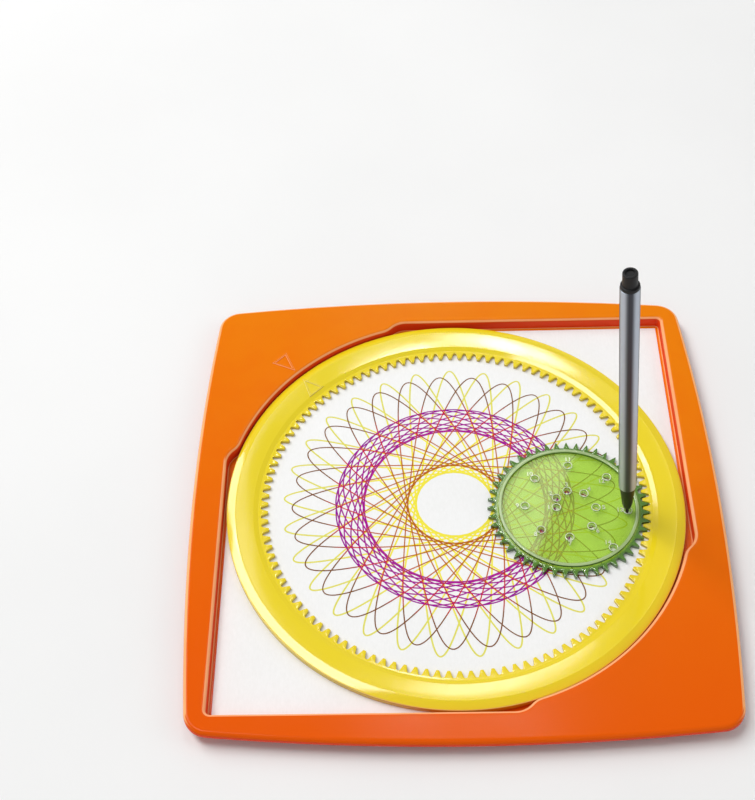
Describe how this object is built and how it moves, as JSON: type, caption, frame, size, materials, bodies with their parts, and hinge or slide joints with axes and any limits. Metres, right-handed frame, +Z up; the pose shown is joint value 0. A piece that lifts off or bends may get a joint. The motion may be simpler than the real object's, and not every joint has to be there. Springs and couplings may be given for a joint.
{
  "type": "spiral drawing machine",
  "caption": "Square tray with a sheet of paper and an internally toothed ring, in which a clear toothed wheel rolls round and leads a fibre pen.",
  "frame": {"origin": "on the table under the centre of the ring and of the tray", "axes": "+Z up; +Y to the far side of the tray; +X to the right, where the wheel lies at rest"},
  "size_m": [0.2004, 0.2004, 0.135],
  "materials": {
    "tray_plastic": "glossy orange moulded plastic",
    "paper": "matt white drawing paper",
    "ring_plastic": "glossy yellow moulded plastic",
    "wheel_plastic": "clear green moulded plastic",
    "nib_fibre": "pressed fibre",
    "pen_black": "satin black plastic",
    "pen_grey": "metallic grey plastic",
    "ink_core": "ink-soaked fibre"
  },
  "bodies": {
    "base": {"base_tray": "tray_plastic", "paper_sheet": "paper"},
    "ring": {"gear_ring": "ring_plastic"},
    "rim": {"wheel_rim": "wheel_plastic"},
    "wheel": {"drawing_wheel": "wheel_plastic"},
    "pen": {"pen_nib": "nib_fibre", "pen_nose": "pen_black", "pen_barrel": "pen_grey", "pen_ink_core": "ink_core", "pen_end_plug": "pen_black"}
  },
  "joints": [
    {"name": "ring_lift", "type": "slide", "parent": "base", "child": "ring", "axis": [0, 0, 1], "range_m": [0, 0.03]},
    {"name": "wheel_orbit", "type": "hinge", "parent": "base", "child": "rim", "pos_m": [0, 0, 0.0041], "axis": [0, 0, 1], "continuous": true},
    {"name": "wheel_spin", "type": "hinge", "parent": "rim", "child": "wheel", "pos_m": [0.04296, -0.00376, 0.0041], "axis": [0, 0, 1], "continuous": true},
    {"name": "pen_lift", "type": "slide", "parent": "wheel", "child": "pen", "axis": [-0.1011, 0, 0.9949], "range_m": [0, 0.03]}
  ],
  "couplings": [
    {"joint": "wheel_spin", "follows": "wheel_orbit", "ratio": -2.4681}
  ]
}
